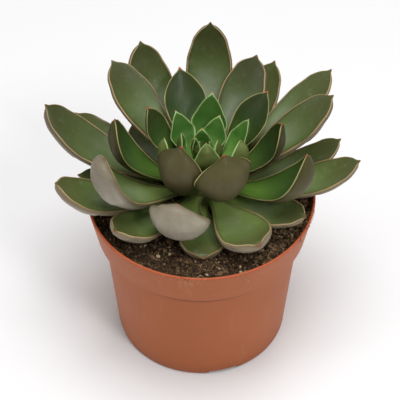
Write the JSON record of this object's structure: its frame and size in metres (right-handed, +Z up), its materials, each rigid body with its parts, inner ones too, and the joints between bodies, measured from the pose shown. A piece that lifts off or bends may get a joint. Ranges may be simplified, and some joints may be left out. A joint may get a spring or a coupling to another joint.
{
  "type": "potted succulent",
  "caption": "Rosette succulent with fleshy pointed leaves, rooted in soil in a round tapered nursery pot",
  "frame": {"origin": "on the supporting surface, on the pot's axis, which is the middle of the object's footprint", "axes": "+Z up along the pot's axis, -Y towards the front, where the rosette's steep front leaves face, +X to the right seen from the front"},
  "size_m": [0.1608, 0.1219, 0.16],
  "materials": {
    "pot_plastic": "moulded terracotta-coloured plastic, satin, slightly scuffed",
    "potting_soil": "damp peat mixed with sand, grit and perlite",
    "stem_tissue": "living green-brown stem tissue",
    "leaf_outer": "waxy olive green leaf, satin, pale margin",
    "leaf_middle": "waxy dark green leaf, satin, purple-brown underside",
    "leaf_inner": "waxy bright green young leaf, satin, red tip"
  },
  "bodies": {
    "root": {"leaf_01": "leaf_outer", "leaf_02": "leaf_outer", "leaf_03": "leaf_outer", "leaf_04": "leaf_outer", "leaf_05": "leaf_outer", "leaf_06": "leaf_outer", "leaf_07": "leaf_outer", "leaf_08": "leaf_outer", "leaf_09": "leaf_outer", "leaf_10": "leaf_outer", "leaf_11": "leaf_outer", "leaf_12": "leaf_outer", "leaf_13": "leaf_outer", "leaf_14": "leaf_outer", "leaf_15": "leaf_outer", "leaf_16": "leaf_outer", "leaf_17": "leaf_outer", "leaf_18": "leaf_outer", "leaf_19": "leaf_outer", "leaf_20": "leaf_outer", "leaf_21": "leaf_outer", "leaf_22": "leaf_outer", "leaf_23": "leaf_outer", "leaf_24": "leaf_middle", "leaf_25": "leaf_middle", "leaf_26": "leaf_middle", "leaf_27": "leaf_middle", "leaf_28": "leaf_middle", "leaf_29": "leaf_middle", "leaf_30": "leaf_middle", "leaf_31": "leaf_middle", "leaf_32": "leaf_inner", "leaf_33": "leaf_inner", "leaf_34": "leaf_inner", "leaf_35": "leaf_inner", "leaf_36": "leaf_inner", "leaf_37": "leaf_inner", "leaf_38": "leaf_inner", "leaf_39": "leaf_inner", "leaf_40": "leaf_inner", "leaf_41": "leaf_inner", "leaf_42": "leaf_inner", "leaf_43": "leaf_inner", "leaf_44": "leaf_inner", "pot": "pot_plastic", "soil": "potting_soil", "stem": "stem_tissue"}
  },
  "joints": []
}
